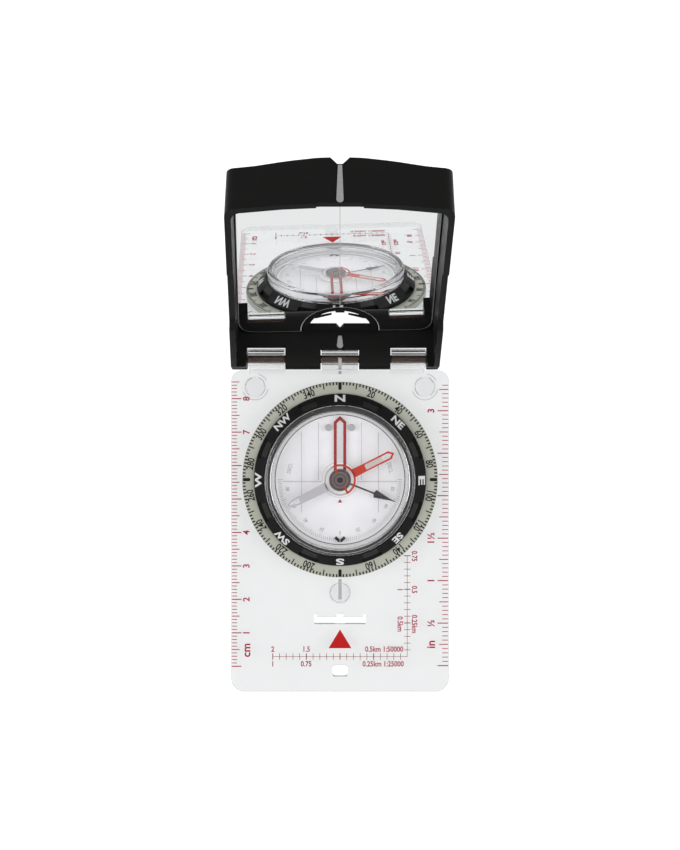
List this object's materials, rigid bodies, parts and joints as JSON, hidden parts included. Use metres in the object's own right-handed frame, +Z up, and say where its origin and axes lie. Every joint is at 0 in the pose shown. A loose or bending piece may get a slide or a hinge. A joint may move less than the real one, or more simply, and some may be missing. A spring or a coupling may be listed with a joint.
{
  "type": "baseplate compass with folding mirror lid",
  "caption": "Clear baseplate compass with a folding black mirror lid, turning bezel, liquid capsule, needle and clinometer pointer.",
  "frame": {"origin": "on the dial's turning axis, at the middle of the capsule's flat underside, which is level with the baseplate's underside", "axes": "+Z up out of the dial, +Y from the dial to the lid's hinge, which is the direction of travel, +X to the right"},
  "size_m": [0.0652, 0.1476, 0.0785],
  "materials": {
    "clear_plastic": "polished clear acrylic",
    "clear_rubber": "translucent soft rubber",
    "black_plastic": "black satin-gloss moulding",
    "bezel_black": "black satin moulding with white lettering",
    "luminous": "pale olive phosphorescent plastic with black graduations",
    "marking": "pale grey marking paint",
    "mirror_glass": "silvered acrylic mirror",
    "steel": "bright steel",
    "brass": "turned brass",
    "magnet": "dark sintered magnet",
    "jewel": "polished sapphire bearing",
    "needle_red": "orange-red print on the needle",
    "needle_white": "pale grey needle half",
    "pointer_black": "black pointer"
  },
  "bodies": {
    "base": {"baseplate": "clear_plastic", "hinge_pin": "steel", "foot_left": "clear_rubber", "foot_right": "clear_rubber", "foot_rear": "clear_rubber", "index_line_front": "marking", "index_line_rear": "marking"},
    "lid": {"lid_shell": "black_plastic", "mirror": "mirror_glass", "sight_stripe_upper": "marking", "sight_stripe_lower": "marking"},
    "bezel": {"azimuth_ring": "luminous", "bezel_ring": "bezel_black", "retaining_ring": "clear_plastic", "capsule_housing": "clear_plastic", "capsule_cover": "clear_plastic", "dial_disc": "clear_plastic", "pivot_post": "steel", "fill_plug": "clear_rubber"},
    "declination_arrow": {"declination_plate": "clear_plastic", "luminous_dot_left": "marking", "luminous_dot_right": "marking"},
    "declination_key": {"declination_screw": "brass"},
    "needle": {"needle_north": "needle_red", "needle_south": "needle_white", "needle_magnet": "magnet", "needle_jewel": "jewel"},
    "clinometer": {"clinometer_pointer": "pointer_black"}
  },
  "joints": [
    {"name": "lid_hinge", "type": "hinge", "parent": "base", "child": "lid", "pos_m": [0, 0.0357, 0.0088], "axis": [-1, 0, 0], "range_deg": [-121.1, 58.9]},
    {"name": "bezel_turn", "type": "hinge", "parent": "base", "child": "bezel", "pos_m": [0, 0, 0.005], "axis": [0, 0, 1], "continuous": true},
    {"name": "declination_set", "type": "hinge", "parent": "bezel", "child": "declination_arrow", "pos_m": [0, 0, 0.0026], "axis": [0, 0, 1], "range_deg": [-28, 28]},
    {"name": "screw_turn", "type": "hinge", "parent": "bezel", "child": "declination_key", "pos_m": [0, -0.003, 0.001], "axis": [0, 0, 1], "range_deg": [-98, 98]},
    {"name": "needle_spin", "type": "hinge", "parent": "bezel", "child": "needle", "pos_m": [0, 0, 0.0052], "axis": [0, 0, 1], "continuous": true},
    {"name": "clinometer_swing", "type": "hinge", "parent": "bezel", "child": "clinometer", "pos_m": [0, 0, 0.0035], "axis": [0, 0, 1], "continuous": true}
  ],
  "couplings": [
    {"joint": "screw_turn", "follows": "declination_set", "ratio": 3.5}
  ]
}
